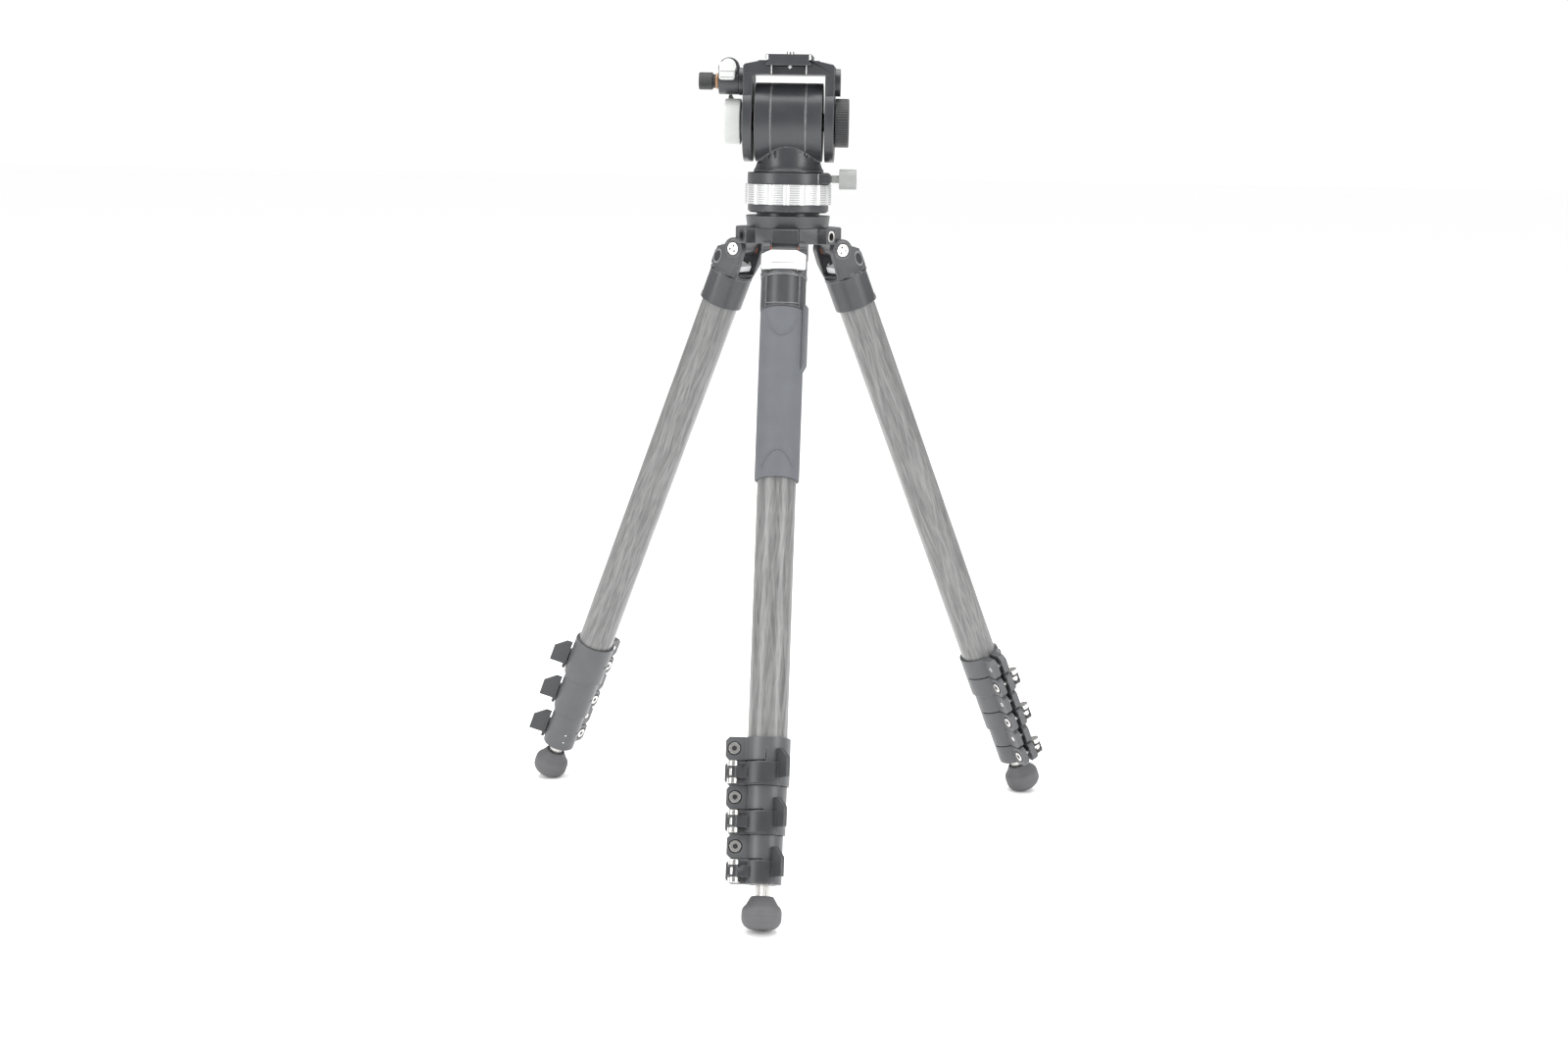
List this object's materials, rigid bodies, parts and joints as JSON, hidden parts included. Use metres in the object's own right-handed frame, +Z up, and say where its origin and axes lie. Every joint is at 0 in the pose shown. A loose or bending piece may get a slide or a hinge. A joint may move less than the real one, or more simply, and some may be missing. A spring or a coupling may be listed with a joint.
{
  "type": "tripod with fluid head",
  "caption": "Folding tripod with telescoping carbon legs, lever locks, a levelling base and a pan and tilt fluid head with a pan bar.",
  "frame": {"origin": "on the tripod's axis at floor level, between the three feet", "axes": "+Z up; -Y the way the camera looks, along the front leg; +Y back along the pan bar; +X to the right seen from the front"},
  "size_m": [0.4923, 0.5552, 0.6836],
  "materials": {
    "casting_black": "satin black anodised casting",
    "collar_grey": "satin dark grey anodised",
    "carbon": "woven carbon fibre under clear lacquer",
    "silver": "satin silver anodised",
    "steel": "turned steel",
    "rubber": "matte black rubber",
    "grip_rubber": "matte dark grey rubber",
    "orange": "orange anodised",
    "knob_black": "matte black",
    "foam": "matte foam rubber"
  },
  "bodies": {
    "spider": {"spider": "collar_grey", "bowl": "collar_grey", "hip_pins": "steel", "hip_washers": "orange"},
    "leg_front": {"casting_front": "casting_black", "tube_1_front": "carbon", "collar_1_front": "collar_grey", "leg_grip": "grip_rubber"},
    "tab_front": {"angle_tab_front": "silver"},
    "lever_1_front": {"lever_1_front": "casting_black"},
    "section_2_front": {"tube_2_front": "carbon", "collar_2_front": "collar_grey"},
    "lever_2_front": {"lever_2_front": "casting_black"},
    "section_3_front": {"tube_3_front": "carbon", "collar_3_front": "collar_grey"},
    "lever_3_front": {"lever_3_front": "casting_black"},
    "section_4_front": {"tube_4_front": "carbon", "foot_front": "rubber"},
    "leg_left": {"casting_left": "casting_black", "tube_1_left": "carbon", "collar_1_left": "collar_grey"},
    "tab_left": {"angle_tab_left": "silver"},
    "lever_1_left": {"lever_1_left": "casting_black"},
    "section_2_left": {"tube_2_left": "carbon", "collar_2_left": "collar_grey"},
    "lever_2_left": {"lever_2_left": "casting_black"},
    "section_3_left": {"tube_3_left": "carbon", "collar_3_left": "collar_grey"},
    "lever_3_left": {"lever_3_left": "casting_black"},
    "section_4_left": {"tube_4_left": "carbon", "foot_left": "rubber"},
    "leg_right": {"casting_right": "casting_black", "tube_1_right": "carbon", "collar_1_right": "collar_grey"},
    "tab_right": {"angle_tab_right": "silver"},
    "lever_1_right": {"lever_1_right": "casting_black"},
    "section_2_right": {"tube_2_right": "carbon", "collar_2_right": "collar_grey"},
    "lever_2_right": {"lever_2_right": "casting_black"},
    "section_3_right": {"tube_3_right": "carbon", "collar_3_right": "collar_grey"},
    "lever_3_right": {"lever_3_right": "casting_black"},
    "section_4_right": {"tube_4_right": "carbon", "foot_right": "rubber"},
    "level_pitch": {"level_ball": "casting_black"},
    "level_roll": {"level_base": "casting_black", "pan_base": "casting_black"},
    "level_lock": {"level_ring": "silver"},
    "pan_lock": {"pan_lock": "silver"},
    "pan_head": {"head_body": "casting_black"},
    "tilt_cradle": {"cradle_bridge": "casting_black", "cradle_arms": "casting_black", "rosettes": "casting_black"},
    "plate": {"camera_plate": "casting_black"},
    "camera_screw": {"camera_screw": "steel"},
    "drag_knob": {"drag_knob": "silver"},
    "tilt_lock": {"tilt_lock": "knob_black"},
    "bar": {"bar_clamp": "casting_black", "pan_bar": "foam"},
    "bar_clamp_screw": {"bar_clamp_screw": "knob_black"}
  },
  "joints": [
    {"name": "leg_fold_front", "type": "hinge", "parent": "spider", "child": "leg_front", "pos_m": [0, -0.044, 0.51683], "axis": [-1, 0, 0], "range_deg": [-23, 0]},
    {"name": "angle_tab_front_pull", "type": "slide", "parent": "leg_front", "child": "tab_front", "axis": [0, -0.9205, 0.3907], "range_m": [0, 0.005], "stiffness_N_per_m": 300, "springref_m": -0.002},
    {"name": "lever_1_front_open", "type": "hinge", "parent": "leg_front", "child": "lever_1_front", "pos_m": [-0.0256, -0.2283, 0.12896], "axis": [0, -0.3907, -0.9205], "range_deg": [0, 100]},
    {"name": "section_2_front_slide", "type": "slide", "parent": "leg_front", "child": "section_2_front", "axis": [0, -0.3907, -0.9205], "range_m": [0, 0.29]},
    {"name": "lever_2_front_open", "type": "hinge", "parent": "section_2_front", "child": "lever_2_front", "pos_m": [-0.0238, -0.24331, 0.09361], "axis": [0, -0.3907, -0.9205], "range_deg": [0, 100]},
    {"name": "section_3_front_slide", "type": "slide", "parent": "section_2_front", "child": "section_3_front", "axis": [0, -0.3907, -0.9205], "range_m": [0, 0.29]},
    {"name": "lever_3_front_open", "type": "hinge", "parent": "section_3_front", "child": "lever_3_front", "pos_m": [-0.022, -0.25831, 0.05827], "axis": [0, -0.3907, -0.9205], "range_deg": [0, 100]},
    {"name": "section_4_front_slide", "type": "slide", "parent": "section_3_front", "child": "section_4_front", "axis": [0, -0.3907, -0.9205], "range_m": [0, 0.29]},
    {"name": "leg_fold_left", "type": "hinge", "parent": "spider", "child": "leg_left", "pos_m": [-0.0381, 0.022, 0.51683], "axis": [0.5, 0.866, 0], "range_deg": [-23, 0]},
    {"name": "angle_tab_left_pull", "type": "slide", "parent": "leg_left", "child": "tab_left", "axis": [-0.7972, 0.4603, 0.3907], "range_m": [0, 0.005], "stiffness_N_per_m": 300, "springref_m": -0.002},
    {"name": "lever_1_left_open", "type": "hinge", "parent": "leg_left", "child": "lever_1_left", "pos_m": [-0.18492, 0.13632, 0.12896], "axis": [-0.3384, 0.1954, -0.9205], "range_deg": [0, 100]},
    {"name": "section_2_left_slide", "type": "slide", "parent": "leg_left", "child": "section_2_left", "axis": [-0.3384, 0.1954, -0.9205], "range_m": [0, 0.29]},
    {"name": "lever_2_left_open", "type": "hinge", "parent": "section_2_left", "child": "lever_2_left", "pos_m": [-0.19881, 0.14227, 0.09361], "axis": [-0.3384, 0.1954, -0.9205], "range_deg": [0, 100]},
    {"name": "section_3_left_slide", "type": "slide", "parent": "section_2_left", "child": "section_3_left", "axis": [-0.3384, 0.1954, -0.9205], "range_m": [0, 0.29]},
    {"name": "lever_3_left_open", "type": "hinge", "parent": "section_3_left", "child": "lever_3_left", "pos_m": [-0.21271, 0.14821, 0.05827], "axis": [-0.3384, 0.1954, -0.9205], "range_deg": [0, 100]},
    {"name": "section_4_left_slide", "type": "slide", "parent": "section_3_left", "child": "section_4_left", "axis": [-0.3384, 0.1954, -0.9205], "range_m": [0, 0.29]},
    {"name": "leg_fold_right", "type": "hinge", "parent": "spider", "child": "leg_right", "pos_m": [0.0381, 0.022, 0.51683], "axis": [0.5, -0.866, 0], "range_deg": [-23, 0]},
    {"name": "angle_tab_right_pull", "type": "slide", "parent": "leg_right", "child": "tab_right", "axis": [0.7972, 0.4603, 0.3907], "range_m": [0, 0.005], "stiffness_N_per_m": 300, "springref_m": -0.002},
    {"name": "lever_1_right_open", "type": "hinge", "parent": "leg_right", "child": "lever_1_right", "pos_m": [0.21052, 0.09198, 0.12896], "axis": [0.3384, 0.1954, -0.9205], "range_deg": [0, 100]},
    {"name": "section_2_right_slide", "type": "slide", "parent": "leg_right", "child": "section_2_right", "axis": [0.3384, 0.1954, -0.9205], "range_m": [0, 0.29]},
    {"name": "lever_2_right_open", "type": "hinge", "parent": "section_2_right", "child": "lever_2_right", "pos_m": [0.22261, 0.10104, 0.09361], "axis": [0.3384, 0.1954, -0.9205], "range_deg": [0, 100]},
    {"name": "section_3_right_slide", "type": "slide", "parent": "section_2_right", "child": "section_3_right", "axis": [0.3384, 0.1954, -0.9205], "range_m": [0, 0.29]},
    {"name": "lever_3_right_open", "type": "hinge", "parent": "section_3_right", "child": "lever_3_right", "pos_m": [0.2347, 0.1101, 0.05827], "axis": [0.3384, 0.1954, -0.9205], "range_deg": [0, 100]},
    {"name": "section_4_right_slide", "type": "slide", "parent": "section_3_right", "child": "section_4_right", "axis": [0.3384, 0.1954, -0.9205], "range_m": [0, 0.29]},
    {"name": "level_pitch", "type": "hinge", "parent": "spider", "child": "level_pitch", "pos_m": [0, 0, 0.54623], "axis": [1, 0, 0], "range_deg": [-3, 3]},
    {"name": "level_roll", "type": "hinge", "parent": "level_pitch", "child": "level_roll", "pos_m": [0, 0, 0.54623], "axis": [0, 1, 0], "range_deg": [-3, 3]},
    {"name": "level_ring_turn", "type": "hinge", "parent": "level_roll", "child": "level_lock", "pos_m": [0, 0, 0.56433], "axis": [0, 0, 1], "range_deg": [-90, 0]},
    {"name": "pan_lock_turn", "type": "hinge", "parent": "level_roll", "child": "pan_lock", "pos_m": [0.045, -0.017, 0.57783], "axis": [1, 0, 0], "range_deg": [-180, 0]},
    {"name": "pan", "type": "hinge", "parent": "level_roll", "child": "pan_head", "pos_m": [0, 0, 0.58253], "axis": [0, 0, 1], "continuous": true},
    {"name": "tilt", "type": "hinge", "parent": "pan_head", "child": "tilt_cradle", "pos_m": [0, 0, 0.62453], "axis": [1, 0, 0], "range_deg": [-60, 90]},
    {"name": "drag_knob_turn", "type": "hinge", "parent": "pan_head", "child": "drag_knob", "pos_m": [-0.045, 0, 0.62453], "axis": [1, 0, 0], "range_deg": [0, 150]},
    {"name": "tilt_lock_turn", "type": "hinge", "parent": "pan_head", "child": "tilt_lock", "pos_m": [0.045, 0, 0.62453], "axis": [1, 0, 0], "range_deg": [-180, 0]},
    {"name": "plate_slide", "type": "slide", "parent": "tilt_cradle", "child": "plate", "axis": [0, 1, 0], "range_m": [-0.012, 0.012]},
    {"name": "camera_screw_turn", "type": "hinge", "parent": "plate", "child": "camera_screw", "pos_m": [0, 0, 0.68043], "axis": [0, 0, 1], "continuous": true},
    {"name": "bar_angle", "type": "hinge", "parent": "tilt_cradle", "child": "bar", "pos_m": [-0.052, 0, 0.65813], "axis": [1, 0, 0], "range_deg": [-10, 60]},
    {"name": "bar_clamp_screw_turn", "type": "hinge", "parent": "tilt_cradle", "child": "bar_clamp_screw", "pos_m": [-0.06, 0, 0.65813], "axis": [1, 0, 0], "range_deg": [0, 180]}
  ]
}
